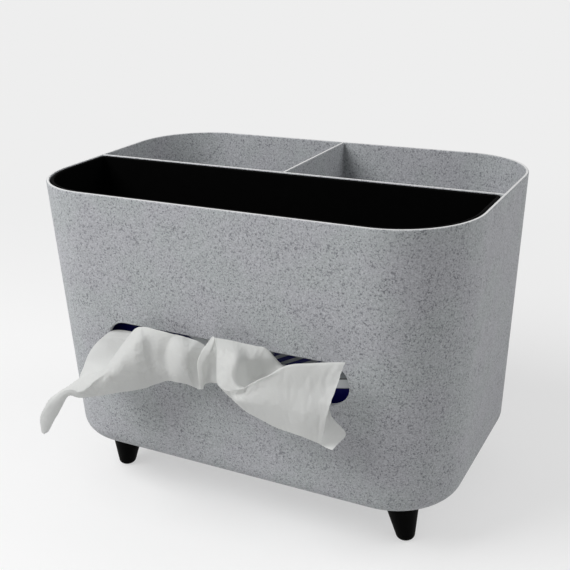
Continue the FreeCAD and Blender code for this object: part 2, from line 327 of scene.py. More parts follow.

# %% [markdown]
# ## The drawn sheet
# One two-ply tissue is pulled out through the slot and hangs in front of it. A cloth simulation
# alone would pick its own folds, so the large ones are laid out one by one: each line of points
# below is one cut across the sheet, from behind the top fold, over it and down to the free edge,
# and the lines follow each other from the left tip to the right edge. The first three points of a
# line are behind the top fold and the fourth is on it. Two of those three are inside the slot
# and the third is at its mouth, except near the left end, where the sheet is folded back
# outside it. The tip at the left is a single layer, so its lines leave them out. From line 28
# on, counted from 0, the eighth point is the upper edge of the flap at the right. A second,
# smaller set of lines is the sheet's lower corner, which shows again behind that flap.

# %% Lines across the sheet, in millimetres
SHEET_COLUMNS = [
    [None, None, None, (-97.4, -88.0, 38.7), (-95.8, -88.0, 37.5), (-95.2, -88.2, 38.5),
     (-94.5, -88.2, 38.9), (-93.9, -88.2, 39.3), (-93.4, -88.2, 39.6), (-93.1, -88.1, 39.9),
     (-92.8, -88.0, 40.0)],
    [None, None, None, (-95.9, -90.0, 47.2), (-93.0, -91.6, 48.6), (-91.4, -91.8, 48.6),
     (-89.8, -92.0, 48.5), (-88.7, -91.8, 48.3), (-87.9, -91.5, 47.9), (-87.3, -91.2, 47.5),
     (-87.0, -90.7, 47.1)],
    [None, None, None, (-91.3, -91.8, 53.8), (-89.0, -92.5, 54.4), (-86.2, -93.3, 55.5),
     (-83.9, -93.6, 56.1), (-82.2, -93.6, 56.5), (-80.9, -93.3, 56.6), (-79.9, -92.9, 56.7),
     (-79.3, -92.3, 56.5)],
    [None, None, None, (-81.9, -94.6, 65.7), (-78.4, -97.1, 66.7), (-76.5, -97.6, 67.0),
     (-74.9, -97.8, 66.9), (-74.0, -97.5, 66.5), (-73.5, -96.8, 66.0), (-73.3, -96.0, 65.3),
     (-73.4, -95.0, 64.5)],
    [None, None, None, (-69.4, -96.9, 73.8), (-65.9, -98.5, 76.2), (-66.6, -98.2, 75.0),
     (-66.3, -98.4, 74.4), (-66.4, -98.3, 73.7), (-66.6, -98.1, 73.0), (-66.7, -97.9, 72.4),
     (-67.0, -97.6, 71.8)],
    [(-69.2, -87.0, 73.3), (-70.0, -86.1, 73.0), (-62.9, -93.7, 78.1), (-63.2, -93.9, 78.8),
     (-60.1, -99.8, 73.8), (-61.3, -98.1, 73.8), (-61.6, -98.1, 72.6), (-62.1, -97.6, 71.6),
     (-62.6, -97.2, 70.7), (-63.1, -96.8, 69.9), (-63.6, -96.4, 69.2)],
    [(-71.4, -84.0, 74.6), (-69.2, -83.4, 74.2), (-59.1, -89.4, 78.1), (-59.2, -92.4, 81.6),
     (-56.1, -100.2, 75.5), (-56.9, -97.7, 75.8), (-56.9, -97.7, 74.5), (-57.1, -97.1, 73.6),
     (-57.3, -96.6, 72.7), (-57.5, -96.1, 71.8), (-57.7, -95.7, 71.1)],
    [(-71.4, -81.0, 76.8), (-67.3, -80.7, 77.8), (-52.1, -86.1, 76.3), (-53.9, -90.8, 82.4),
     (-51.4, -99.0, 81.4), (-52.4, -96.1, 79.2), (-52.5, -95.8, 77.1), (-52.8, -95.0, 75.4),
     (-53.0, -94.5, 73.9), (-53.1, -94.2, 72.7), (-53.2, -93.8, 71.6)],
    [(-72.5, -77.9, 78.4), (-66.2, -76.3, 80.6), (-51.5, -83.3, 75.9), (-51.5, -90.1, 84.1),
     (-45.7, -95.5, 86.8), (-45.4, -96.2, 85.1), (-44.9, -96.9, 83.3), (-45.7, -96.0, 80.6),
     (-46.9, -94.8, 77.6), (-49.0, -92.4, 74.2), (-50.9, -90.2, 71.0)],
    [(-71.5, -75.6, 82.4), (-64.1, -74.9, 85.3), (-49.4, -78.0, 77.3), (-50.1, -86.0, 87.1),
     (-45.4, -91.6, 88.0), (-43.7, -93.5, 86.8), (-42.6, -94.6, 84.8), (-42.8, -94.2, 82.0),
     (-43.6, -92.9, 78.8), (-44.9, -91.3, 75.6), (-46.1, -89.7, 72.6)],
    [(-69.2, -72.8, 86.9), (-61.1, -72.5, 89.8), (-46.7, -74.5, 81.8), (-47.9, -82.1, 91.0),
     (-39.9, -91.3, 93.7), (-38.4, -92.9, 91.6), (-37.9, -93.2, 88.6), (-38.1, -92.6, 84.9),
     (-38.9, -91.5, 81.0), (-40.0, -89.9, 77.3), (-41.3, -88.0, 73.6)],
    [(-63.4, -71.2, 91.6), (-57.9, -70.6, 91.9), (-43.8, -71.7, 88.9), (-46.3, -77.6, 95.1),
     (-38.4, -86.8, 96.9), (-35.9, -89.6, 94.9), (-34.4, -90.9, 91.6), (-34.1, -90.9, 87.6),
     (-34.4, -90.0, 83.2), (-35.2, -88.6, 79.2), (-36.3, -86.8, 75.0)],
    [(-62.4, -67.2, 93.9), (-61.2, -65.5, 92.6), (-41.5, -69.0, 91.0), (-45.2, -75.3, 97.3),
     (-35.1, -87.3, 100.4), (-32.7, -89.6, 97.7), (-31.6, -90.2, 93.9), (-31.3, -89.9, 89.4),
     (-31.5, -89.0, 84.8), (-32.2, -87.7, 80.5), (-33.5, -85.4, 75.9)],
    [(-52.8, -64.4, 92.9), (-47.7, -64.8, 93.9), (-47.1, -69.8, 96.5), (-44.5, -73.5, 98.5),
     (-33.9, -86.5, 102.0), (-32.1, -88.1, 98.8), (-30.5, -89.2, 95.0), (-30.0, -88.8, 90.3),
     (-29.9, -87.7, 85.5), (-30.1, -86.5, 81.2), (-30.9, -84.4, 76.6)],
    [(-53.9, -60.3, 87.7), (-48.0, -64.8, 89.3), (-47.0, -66.5, 94.5), (-40.1, -73.6, 102.3),
     (-32.8, -83.4, 103.0), (-30.3, -86.7, 100.6), (-29.3, -87.6, 96.4), (-28.3, -87.8, 92.0),
     (-27.6, -87.3, 87.3), (-27.6, -85.7, 82.8), (-28.1, -83.4, 78.1)],
    [(-21.9, -57.4, 85.5), (-25.5, -61.2, 89.6), (-30.5, -78.6, 92.2), (-31.6, -77.5, 104.5),
     (-30.0, -80.7, 101.1), (-29.0, -82.9, 98.5), (-28.0, -84.4, 94.8), (-26.9, -85.1, 90.9),
     (-26.1, -84.6, 86.7), (-25.2, -84.0, 83.1), (-25.1, -82.2, 79.0)],
    [(-22.7, -58.2, 86.1), (-23.4, -61.7, 89.6), (-25.9, -76.0, 92.7), (-24.9, -76.7, 103.8),
     (-24.4, -80.0, 100.8), (-24.6, -81.9, 98.2), (-24.7, -83.1, 94.7), (-23.8, -84.2, 91.5),
     (-22.7, -84.3, 88.0), (-22.0, -83.4, 84.6), (-21.5, -82.0, 81.1)],
    [(-16.7, -58.0, 86.0), (-17.8, -61.8, 89.5), (-20.1, -75.8, 92.8), (-19.6, -76.6, 103.3),
     (-21.0, -77.7, 99.3), (-21.5, -79.8, 96.7), (-22.2, -80.7, 93.1), (-21.5, -81.8, 89.9),
     (-20.2, -82.5, 86.8), (-19.0, -82.4, 83.9), (-18.1, -81.7, 80.9)],
    [(-17.0, -58.0, 86.0), (-18.0, -62.2, 89.5), (-20.2, -74.4, 93.0), (-19.8, -75.4, 102.6),
     (-18.8, -78.8, 100.0), (-18.4, -81.4, 97.8), (-18.5, -82.4, 94.3), (-17.6, -83.6, 91.1),
     (-16.3, -84.1, 87.9), (-15.2, -84.0, 85.0), (-14.6, -83.2, 81.8)],
    [(-13.8, -58.0, 86.0), (-14.6, -62.6, 89.4), (-16.3, -72.7, 93.4), (-16.3, -73.9, 101.2),
     (-13.2, -79.5, 100.1), (-12.4, -81.9, 98.0), (-11.3, -84.2, 95.4), (-11.1, -84.7, 91.9),
     (-11.0, -84.5, 88.3), (-11.2, -83.8, 84.9), (-11.7, -82.4, 81.4)],
    [(-12.9, -58.0, 86.0), (-13.7, -63.4, 89.3), (-15.2, -69.0, 93.7), (-15.3, -71.1, 99.3),
     (-10.6, -77.6, 99.1), (-9.2, -79.9, 97.0), (-8.7, -81.2, 93.9), (-8.4, -82.0, 90.7),
     (-7.8, -82.9, 87.6), (-7.7, -83.2, 84.7), (-8.5, -82.3, 81.2)],
    [(-8.5, -58.0, 86.0), (-9.0, -63.4, 89.2), (-10.1, -70.0, 94.5), (-10.3, -71.9, 99.4),
     (-8.7, -78.8, 99.0), (-9.4, -80.6, 95.7), (-9.6, -81.5, 92.2), (-8.9, -82.0, 87.9),
     (-7.9, -81.9, 84.4), (-7.3, -80.6, 80.9), (-5.0, -80.9, 79.2)],
    [(-5.7, -58.0, 86.0), (-6.0, -63.8, 89.7), (-7.0, -67.1, 92.0), (-5.3, -70.2, 96.0),
     (-6.6, -75.2, 94.4), (-6.3, -76.1, 91.6), (-6.0, -76.8, 89.0), (-5.7, -77.6, 86.8),
     (-5.2, -78.7, 84.8), (-4.7, -79.6, 82.2), (-4.5, -80.3, 79.6)],
    [(1.7, -58.0, 86.0), (1.8, -62.0, 89.5), (2.2, -76.1, 93.0), (0.7, -74.5, 105.5),
     (0.8, -81.0, 103.3), (-0.5, -83.0, 100.7), (-1.9, -84.5, 97.0), (-2.4, -85.3, 93.3),
     (-2.2, -85.5, 89.4), (-2.0, -85.0, 85.5), (-1.7, -84.1, 81.6)],
    [(1.7, -58.0, 86.0), (1.7, -61.8, 89.7), (2.0, -75.5, 92.1), (2.1, -76.4, 105.4),
     (4.0, -81.9, 102.6), (2.9, -83.4, 99.6), (1.9, -84.2, 95.7), (1.1, -84.8, 92.7),
     (0.8, -84.7, 88.8), (0.0, -84.0, 85.5), (-0.6, -83.3, 81.7)],
    [(2.5, -58.0, 86.0), (2.6, -61.7, 89.7), (3.0, -76.9, 92.1), (2.8, -77.0, 106.1),
     (4.0, -81.5, 101.5), (2.9, -82.0, 98.3), (1.2, -81.7, 94.0), (-0.5, -81.1, 90.2),
     (-1.1, -81.5, 87.7), (-1.5, -81.9, 85.7), (-1.6, -81.9, 84.5)],
    [(3.1, -58.0, 86.0), (3.2, -62.4, 89.6), (3.8, -72.8, 92.7), (3.1, -75.0, 103.5),
     (8.1, -79.7, 101.3), (7.8, -80.0, 97.8), (7.8, -79.8, 94.0), (7.7, -79.7, 90.9),
     (7.8, -80.2, 88.3), (8.1, -80.7, 86.2), (7.8, -80.9, 84.9)],
    [(2.5, -58.0, 86.0), (2.6, -61.3, 89.7), (2.9, -78.5, 92.0), (3.1, -77.4, 106.4),
     (8.1, -84.9, 103.9), (9.5, -87.6, 101.1), (10.4, -89.4, 97.0), (11.2, -91.1, 90.7),
     (11.3, -91.0, 91.5), (11.3, -90.8, 90.3), (10.3, -89.0, 88.3)],
    [(5.7, -58.0, 86.0), (6.0, -61.6, 89.7), (6.9, -76.3, 92.2), (6.2, -76.5, 105.7),
     (10.7, -85.2, 104.2), (12.8, -89.1, 100.5), (14.2, -91.3, 96.7), (15.9, -94.5, 89.3),
     (15.6, -94.1, 90.7), (15.6, -94.0, 89.7), (14.8, -92.2, 88.3)],
    [(8.2, -58.0, 86.0), (8.7, -61.9, 89.7), (9.9, -75.4, 92.3), (9.2, -75.6, 105.1),
     (15.3, -85.4, 103.9), (17.8, -89.2, 101.5), (19.1, -93.2, 98.0), (20.9, -94.2, 90.7),
     (20.9, -95.5, 90.0), (19.1, -92.9, 87.2), (17.0, -90.0, 84.1)],
    [(10.8, -58.0, 86.0), (11.4, -62.2, 89.6), (13.0, -74.5, 92.5), (12.1, -74.9, 104.5),
     (20.0, -86.4, 103.9), (21.9, -90.6, 102.1), (22.6, -92.1, 93.1), (25.6, -95.9, 93.0),
     (22.2, -93.1, 88.1), (24.5, -97.6, 89.0), (23.0, -95.8, 86.0)],
    [(14.1, -58.0, 86.0), (14.9, -62.4, 89.6), (16.8, -73.5, 92.7), (16.1, -74.6, 103.8),
     (20.1, -79.8, 101.3), (21.0, -82.7, 99.4), (20.3, -81.6, 82.9), (28.0, -93.3, 94.2),
     (26.7, -94.3, 89.7), (27.2, -96.6, 86.9), (25.7, -94.4, 82.5)],
    [(17.1, -58.0, 86.0), (18.1, -62.7, 89.5), (20.4, -72.4, 92.8), (19.6, -73.9, 103.4),
     (23.2, -78.3, 100.3), (24.1, -80.6, 99.5), (22.6, -76.8, 82.7), (32.0, -92.8, 97.1),
     (30.4, -93.5, 90.8), (30.5, -96.0, 87.5), (29.1, -94.6, 81.2)],
    [(20.0, -58.0, 86.0), (21.2, -63.0, 89.6), (23.9, -71.1, 92.8), (23.3, -73.0, 103.0),
     (24.7, -75.1, 99.7), (25.3, -76.5, 97.1), (26.4, -72.8, 84.7), (36.0, -90.0, 99.5),
     (35.9, -91.9, 94.2), (36.8, -95.1, 88.1), (35.0, -93.9, 79.2)],
    [(22.9, -58.0, 86.0), (24.2, -63.5, 89.3), (27.4, -69.2, 92.9), (25.7, -71.8, 103.3),
     (30.3, -73.4, 99.1), (30.6, -72.3, 97.5), (31.8, -71.2, 89.3), (41.6, -87.4, 102.9),
     (41.6, -89.6, 94.3), (43.1, -93.7, 87.4), (41.6, -93.0, 76.4)],
    [(24.5, -58.0, 86.0), (25.9, -64.3, 90.0), (29.3, -65.2, 94.1), (27.8, -71.3, 98.5),
     (30.1, -67.1, 93.3), (31.1, -68.2, 91.7), (38.1, -74.5, 93.7), (47.8, -86.0, 105.0),
     (47.4, -87.8, 93.7), (48.6, -92.8, 85.7), (47.6, -92.4, 75.6)],
    [(26.3, -58.0, 86.0), (27.8, -64.1, 87.7), (31.5, -66.9, 88.1), (29.6, -67.9, 94.2),
     (33.5, -68.3, 90.8), (38.5, -70.2, 91.6), (45.2, -74.2, 94.6), (54.3, -83.3, 105.6),
     (54.2, -86.3, 94.7), (55.5, -91.8, 85.8), (54.3, -91.3, 74.0)],
    [(28.9, -58.0, 86.0), (30.5, -64.0, 83.2), (34.8, -66.9, 85.7), (32.1, -67.6, 91.0),
     (38.8, -68.0, 88.1), (45.3, -70.2, 90.5), (52.5, -75.1, 95.3), (60.0, -82.5, 106.7),
     (59.5, -84.7, 95.0), (60.0, -89.8, 87.1), (57.4, -90.4, 72.6)],
    [(30.1, -58.0, 86.0), (31.7, -64.0, 78.2), (36.2, -67.1, 82.0), (33.2, -66.5, 86.5),
     (41.1, -68.9, 85.6), (47.8, -71.4, 88.8), (59.7, -76.7, 97.6), (67.0, -81.7, 108.1),
     (65.3, -83.9, 98.6), (63.3, -89.7, 89.4), (59.8, -89.8, 71.8)],
]
LAST_LINE = len(SHEET_COLUMNS) - 1
CORNER_COLUMNS = [
    [(41.1, -92.2, 76.2), (37.5, -83.0, 77.6), (36.0, -76.9, 81.5), (35.5, -73.0, 84.6)],
    [(47.3, -91.6, 75.0), (45.2, -82.9, 76.4), (44.3, -76.5, 80.4), (43.7, -72.4, 81.8)],
    [(53.7, -90.5, 73.5), (52.1, -81.3, 75.2), (51.4, -75.8, 78.5), (51.1, -72.4, 80.9)],
    [(57.9, -89.6, 72.1), (56.9, -81.2, 73.2), (56.1, -76.2, 77.0), (56.7, -72.9, 79.3)],
    [(61.1, -88.9, 70.1), (61.3, -80.4, 72.1), (59.9, -75.5, 73.6), (56.0, -72.7, 76.3)],
    [(64.6, -89.0, 69.8), (65.3, -82.0, 70.4), (67.3, -77.0, 71.9), (58.6, -73.2, 73.6)],
]
print("sheet:", len(SHEET_COLUMNS), "lines, and its corner:", len(CORNER_COLUMNS), "lines")

# %% [markdown]
# ## From lines to a surface
# Faces between neighbouring lines make a coarse net. A Subdivision Surface modifier turns it
# into soft bends, and an edge with a crease value stays sharper, as a pressed fold does. The
# modifier's result then becomes the piece's own mesh, because later steps need plain points.

# %% A net through lines of points
def add_grid(lines, points, faces):
    """Adds the faces between neighbouring lines, and leaves out the places with no point."""
    numbered = []
    for line in lines:
        numbers = []
        for point in line:
            numbers.append(None if point is None else len(points))
            if point is not None:
                points.append(Vector(point))
        numbered.append(numbers)
    for left, right in zip(numbered, numbered[1:]):
        for row in range(len(left) - 1):
            corners = [left[row], left[row + 1], right[row + 1], right[row]]
            if None not in corners:
                faces.append(corners)
    return numbered


def make_object(name, points, faces):
    mesh = bpy.data.meshes.new(name)
    mesh.from_pydata(points, [], faces)
    mesh.update()
    piece = bpy.data.objects.new(name, mesh)
    bpy.context.scene.collection.objects.link(piece)
    return piece


sheet_points, sheet_faces = [], []
sheet_numbers = add_grid(SHEET_COLUMNS, sheet_points, sheet_faces)
add_grid(CORNER_COLUMNS, sheet_points, sheet_faces)
sheet = make_object("drawn_sheet", [point * MM for point in sheet_points], sheet_faces)
print("net:", len(sheet_points), "points,", len(sheet_faces), "faces")

# %% Sharp folds
# first and last line, first and last point, and how sharp the fold between them is
SHEET_CREASES = [
    (4, 14, 3, 3, 0.6),
    (14, 22, 3, 3, 0.35),
    (23, 34, 3, 3, 0.4),
    (28, LAST_LINE, 7, 7, 0.8),
    (23, 23, 3, 10, 0.7),
    (27, 27, 3, 10, 0.8),
    (22, 22, 3, 10, 0.5),
    (26, 26, 3, 10, 0.5),
]


def crease_sheet(piece, numbers):
    """Sharpens the folds, which a smoothed surface would round off."""
    sharp = {}
    for first, last, top, bottom, sharpness in SHEET_CREASES:
        fold = [line[point] for line in numbers[first:last + 1] for point in range(top, bottom + 1)]
        for ends in zip(fold, fold[1:]):
            sharp[frozenset(ends)] = sharpness
    layer = piece.data.attributes.new("crease_edge", "FLOAT", "EDGE")
    for edge in piece.data.edges:
        layer.data[edge.index].value = sharp.get(frozenset(edge.vertices), 0.0)
    return len(sharp)


print("sharp edges:", crease_sheet(sheet, sheet_numbers))

# %% Soft bends
SHEET_LEVELS = 3


def apply_modifiers(piece):
    """Turns what the modifiers make into the piece's own mesh."""
    depsgraph = bpy.context.evaluated_depsgraph_get()
    made = bpy.data.meshes.new_from_object(piece.evaluated_get(depsgraph))
    piece.modifiers.clear()
    old = piece.data
    piece.data = made
    bpy.data.meshes.remove(old)


def subdivide(piece, levels, boundary="ALL"):
    smooth = piece.modifiers.new("smooth", "SUBSURF")
    smooth.levels = smooth.render_levels = levels
    smooth.boundary_smooth = boundary
    apply_modifiers(piece)


def shade_smooth(piece):
    for face in piece.data.polygons:
        face.use_smooth = True


subdivide(sheet, SHEET_LEVELS, "PRESERVE_CORNERS")
print("sheet:", len(sheet.data.polygons), "faces")

# %% [markdown]
# ## Fine creases
# Thin paper buckles into small creases wherever it is pushed together. A short cloth simulation
# gives them: the sheet grows by two per cent while every point is held near its place, so it
# has to give way sideways. Points inside the slot are held fast and the tip is held firmly. A
# slight shake from seeded noise decides where the creases go, so they are the same each time.
# The simulation runs at ten times the size, which suits Blender's cloth settings better.

# %% Grow the sheet as cloth
CRUMPLE_GROWTH = 0.022
CRUMPLE_FRAMES = 12
CRUMPLE_SEED = 1
CLOTH_SCALE = 10
SLOT_MOUTH = -0.070  # along Y: points further in are held fast
TIP_START, TIP_LENGTH = -0.058, 0.015  # along X: the hold grows from here towards the tip
LOOSE_HOLD, TIP_HOLD = 0.17, 0.6  # the hold of the lobes, and what the tip has on top of it
SHAKE_GRAIN, SHAKE_MM = 9 * MM, 0.3
TISSUE_CLOTH = {
    "quality": 6,
    "mass": 0.05,
    "air_damping": 2,
    "tension_stiffness": 25,
    "compression_stiffness": 25,
    "shear_stiffness": 10,
    "bending_stiffness": 0.02,
    "pin_stiffness": 1.5,
}
CLOTH_GRAVITY = 0.2


def hold_strength(place):
    """How firmly a point keeps its place, from 0 to 1."""
    if place.y > SLOT_MOUTH:
        return 1.0
    towards_tip = min(max((TIP_START - place.x) / TIP_LENGTH, 0.0), 1.0)
    return LOOSE_HOLD + TIP_HOLD * towards_tip


def crumple(piece):
    """Grows the piece a little as cloth, so that it buckles into fine creases in its place."""
    noise.seed_set(CRUMPLE_SEED)
    hold = piece.vertex_groups.new(name="hold")
    for vertex in piece.data.vertices:
        hold.add([vertex.index], hold_strength(vertex.co), "REPLACE")
        shake = noise.noise_vector(vertex.co / SHAKE_GRAIN) * SHAKE_MM * MM
        vertex.co = (vertex.co + shake) * CLOTH_SCALE
    cloth = piece.modifiers.new("crumple", "CLOTH")
    for name, value in TISSUE_CLOTH.items():
        setattr(cloth.settings, name, value)
    cloth.settings.vertex_group_mass = hold.name
    cloth.settings.shrink_min = -CRUMPLE_GROWTH
    cloth.settings.effector_weights.gravity = CLOTH_GRAVITY
    cloth.collision_settings.use_collision = False
    cloth.point_cache.frame_start = 1
    cloth.point_cache.frame_end = CRUMPLE_FRAMES
    for number in range(1, CRUMPLE_FRAMES + 1):
        bpy.context.scene.frame_set(number)
    apply_modifiers(piece)
    bpy.context.scene.frame_set(1)
    for vertex in piece.data.vertices:
        vertex.co /= CLOTH_SCALE


crumple(sheet)
shade_smooth(sheet)
print("sheet area", round(sum(face.area for face in sheet.data.polygons) * 1e4, 1), "cm2")

# %% [markdown]
# ## Soft paper
# Tissue has no gloss, shows its fibres as faint clouds, and lets some light through. Noise of
# about the fibres' size tints and roughens it. A translucent shader mixed over the plain one
# carries light from the far side of the sheet, which a Principled shader alone doesn't do for a
# surface without thickness.

# %% Tissue paper
PAPER_BRIGHT = (0.853, 0.860, 0.845, 1.0)
PAPER_DULL = (0.794, 0.800, 0.786, 1.0)
FIBRE_DEPTH = 0.05 * MM
LIGHT_THROUGH = 0.36


def make_paper(name, bright, dull, fibre, relief, **fixed):
    """Soft paper with clouds of fibres, each about fibre metres across."""
    finish = Finish(name, **fixed)
    fibres = finish.noise(fibre, detail=4)
    finish.set("Base Color", finish.mix(fibres, bright, dull))
    finish.bump(fibres, FIBRE_DEPTH, relief)
    return finish


tissue = make_paper(
    "soft_tissue", PAPER_BRIGHT, PAPER_DULL, fibre=0.5 * MM, relief=0.3,
    Roughness=0.95, Specular_IOR_Level=0.1,
)
tissue.cover(
    LIGHT_THROUGH, tissue.node("ShaderNodeBsdfTranslucent", inputs={"Color": PAPER_BRIGHT})
)
sheet.data.materials.append(tissue.material)
print("translucent share of the tissue:", LIGHT_THROUGH)

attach(sheet, "body")
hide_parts("drawn_tissue")

# %% [markdown]
# ## The stack of leaves
# The refill is a block of thin leaves, each folded once and pushed into the fold of the next.
# One leaf is a grid bent into a hairpin by a rule, and the block repeats it along the depth of
# the box, so Geometry Nodes fit: the tree bends the leaf, sets out the row, turns every second
# leaf over and shakes each one a little, with a fixed seed.

# %% Geometry Nodes written as calls
class Tree(Graph):
    """A Geometry Nodes tree with named inputs."""

    def __init__(self, name, inputs):
        super().__init__(bpy.data.node_groups.new(name, "GeometryNodeTree"))
        self.sockets = {}
        for label, (kind, value) in inputs.items():
            socket = self.tree.interface.new_socket(
                name=label, in_out="INPUT", socket_type=kind
            )
            socket.default_value = value
            self.sockets[label] = socket.identifier
        self.tree.interface.new_socket(
            name="Geometry", in_out="OUTPUT", socket_type="NodeSocketGeometry"
        )
        self.source = self.tree.nodes.new("NodeGroupInput")

    def given(self, label):
        return Wire(self, self.source.outputs[label])

    def end(self, geometry, material):
        """Realises the instances, gives them the material and closes the tree."""
        real = self.node("GeometryNodeRealizeInstances", inputs={0: geometry})
        dressed = self.node(
            "GeometryNodeSetMaterial", inputs={"Geometry": real, "Material": material}
        )
        output = self.tree.nodes.new("NodeGroupOutput")
        self.fill(output.inputs["Geometry"], dressed)

    def make(self, name, **values):
        """Runs the tree on an empty mesh and returns a plain mesh object."""
        piece = make_object(name, [], [])
        modifier = piece.modifiers.new(name, "NODES")
        modifier.node_group = self.tree
        for label, value in values.items():
            modifier[self.sockets[label]] = value
        apply_modifiers(piece)
        return piece


print("ready to write Geometry Nodes")

# %% Stack of folded leaves
LEAF_COUNT = 62
LEAF_CUTS = (9, 13)  # points across a leaf, and from one edge over the fold to the other
LEAF_GAP = 0.3  # half of the gap between a leaf's two sides, for a pitch of 1
FOLD_POWER = 0.35  # a smaller power makes a tighter fold
LEAF_SHAKE = 0.4 * MM
STACK_MARGIN = 1.0 * MM
STACK_SEED = 7


def stack_tree():
    tree = Tree("leaf_stack", {
        "Width": ("NodeSocketFloat", 0.18),
        "Height": ("NodeSocketFloat", 0.09),
        "Depth": ("NodeSocketFloat", 0.05),
        "Count": ("NodeSocketInt", LEAF_COUNT),
        "Shake": ("NodeSocketFloat", LEAF_SHAKE),
        "Seed": ("NodeSocketInt", STACK_SEED),
    })
    count = tree.given("Count")
    pitch = tree.given("Depth") / count
    leaf = tree.node("GeometryNodeMeshGrid", inputs={
        "Size X": tree.given("Width"), "Size Y": 2.0,
        "Vertices X": LEAF_CUTS[0], "Vertices Y": LEAF_CUTS[1],
    })
    place = tree.node("GeometryNodeInputPosition")
    side = tree.axis(place, "Y")
    down = tree.math("ABSOLUTE", side)
    fold = tree.math("SIGN", side) * LEAF_GAP * tree.math("POWER", down, FOLD_POWER) * pitch
    bent = tree.vector(X=tree.axis(place, "X"), Y=fold, Z=(down - 0.5) * tree.given("Height"))
    leaf = tree.node("GeometryNodeSetPosition", inputs={"Geometry": leaf, "Position": bent})
    row = tree.node(
        "GeometryNodeMeshLine",
        {"mode": "OFFSET"},
        {"Count": count, "Offset": tree.vector(Y=pitch)},
    )
    shake = tree.node(
        "FunctionNodeRandomValue",
        {"data_type": "FLOAT_VECTOR"},
        {"Min": (-1.0, 0.0, -1.0), "Max": (1.0, 0.0, 1.0), "Seed": tree.given("Seed")},
    )
    shake = tree.node(
        "ShaderNodeVectorMath", {"operation": "SCALE"}, {0: shake, "Scale": tree.given("Shake")}
    )
    row = tree.node("GeometryNodeSetPosition", inputs={"Geometry": row, "Offset": shake})
    every_second = tree.math("MODULO", tree.node("GeometryNodeInputIndex"), 2.0)
    leaves = tree.node("GeometryNodeInstanceOnPoints", inputs={
        "Points": row, "Instance": leaf, "Rotation": tree.vector(Y=every_second * math.pi),
    })
    paper = make_paper(
        "stacked_tissue", grey(0.8), grey(0.752), fibre=0.4 * MM, relief=0.4, Roughness=0.9
    )
    tree.end(leaves, paper.material)
    return tree


def make_stack():
    size = stack_high - stack_low
    stack = stack_tree().make(
        "leaf_stack",
        Width=size.x - 2 * STACK_MARGIN,
        Height=size.z - 2 * STACK_MARGIN,
        Depth=size.y - STACK_MARGIN,
    )
    start = (stack_low + stack_high) / 2
    start.y = stack_low.y + size.y / LEAF_COUNT / 2 + STACK_MARGIN / 2
    stack.data.transform(Matrix.Translation(start))
    return stack


stack = make_stack()
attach(stack, "body")
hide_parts("paper_stack")
print("stack:", LEAF_COUNT, "leaves,", len(stack.data.polygons), "faces")

# %% [markdown]
# ## The printed bag
# The refill comes in a thin printed bag, which is slack at the front and bulges towards the
# slot. A box with rounded edges is swollen by a rule and then creased by noise, because film
# keeps sharp little dents. The slit that the sheet comes out of is cut into its front.

# %% Bag shape
BAG_CUTS = (60, 18, 36)
BAG_ROUNDING = 7 * MM
BAG_BULGE = 6.0 * MM
BULGE_REACH = 0.8  # of the half width
CREASE_DEPTH = 0.9 * MM
DENTS_PER_M, DENT_SHAPE = 70, (0.9, 2.1, 4)  # H, lacunarity and octaves
RIDGES_PER_M, RIDGE_SHAPE = 25, (1.0, 2.0, 3, 0.9, 2.0)  # the same, and offset and gain
RIDGE_SHARE = 0.6
WELD = 0.01 * MM
FRONT_SKIN = 4 * MM
SLIT_HALF = 46 * MM
SLIT_LOW, SLIT_HIGH = 82 * MM, 90 * MM


def rounded_box_point(half, share):
    """A place on a box with rounded edges round the origin, from three shares of -1 to 1."""
    inner = Vector([h - BAG_ROUNDING for h in half])
    raw = Vector([h * s for h, s in zip(half, share)])
    core = Vector([max(-i, min(i, r)) for i, r in zip(inner, raw)])
    out = raw - core
    if out.length > 0:
        out = out.normalized() * BAG_ROUNDING
    return core + out


def bag_point(share):
    """A place on the bag: rounded, swollen towards the slot and dented."""
    middle = (bag_low + bag_high) / 2
    half = (bag_high - bag_low) / 2
    point = middle + rounded_box_point(half, share)
    front = max(0.0, -share[1])
    across = max(0.0, 1 - (point.x / (BULGE_REACH * half.x)) ** 2)
    upright = max(0.0, 1 - share[2] ** 2)
    point.y -= BAG_BULGE * front * across ** 1.5 * upright
    dents = noise.fractal(point * DENTS_PER_M, *DENT_SHAPE)
    ridges = noise.ridged_multi_fractal(point * RIDGES_PER_M, *RIDGE_SHAPE)
    depth = CREASE_DEPTH * max(0.0, dents + RIDGE_SHARE * ridges - RIDGE_SHARE)
    return point + (middle - point).normalized() * depth


def bag_side(first, second, side):
    """Lines of points over the side of the bag that two axes span."""
    lines = []
    for i in range(BAG_CUTS[first] + 1):
        line = []
        for j in range(BAG_CUTS[second] + 1):
            share = [side] * 3
            share[first] = 2 * i / BAG_CUTS[first] - 1
            share[second] = 2 * j / BAG_CUTS[second] - 1
            line.append(bag_point(share))
        lines.append(line)
    return lines


def in_slit(place):
    """Whether a place lies where the slit is cut into the bag's front."""
    in_front = place.y < bag_low.y + FRONT_SKIN
    return in_front and abs(place.x) < SLIT_HALF and SLIT_LOW < place.z < SLIT_HIGH


def make_bag():
    points, faces = [], []
    for first, second in ((0, 1), (0, 2), (1, 2)):
        for side in (-1, 1):
            add_grid(bag_side(first, second, side), points, faces)
    bag = make_object("refill_bag", points, faces)
    shell = bmesh.new()
    shell.from_mesh(bag.data)
    bmesh.ops.remove_doubles(shell, verts=shell.verts, dist=WELD)
    bmesh.ops.recalc_face_normals(shell, faces=shell.faces)
    slit = [face for face in shell.faces if in_slit(face.calc_center_median())]
    bmesh.ops.delete(shell, geom=slit, context="FACES")
    shell.to_mesh(bag.data)
    shell.free()
    subdivide(bag, 1)
    shade_smooth(bag)
    return bag


bag = make_bag()
print("bag:", len(bag.data.polygons), "faces")

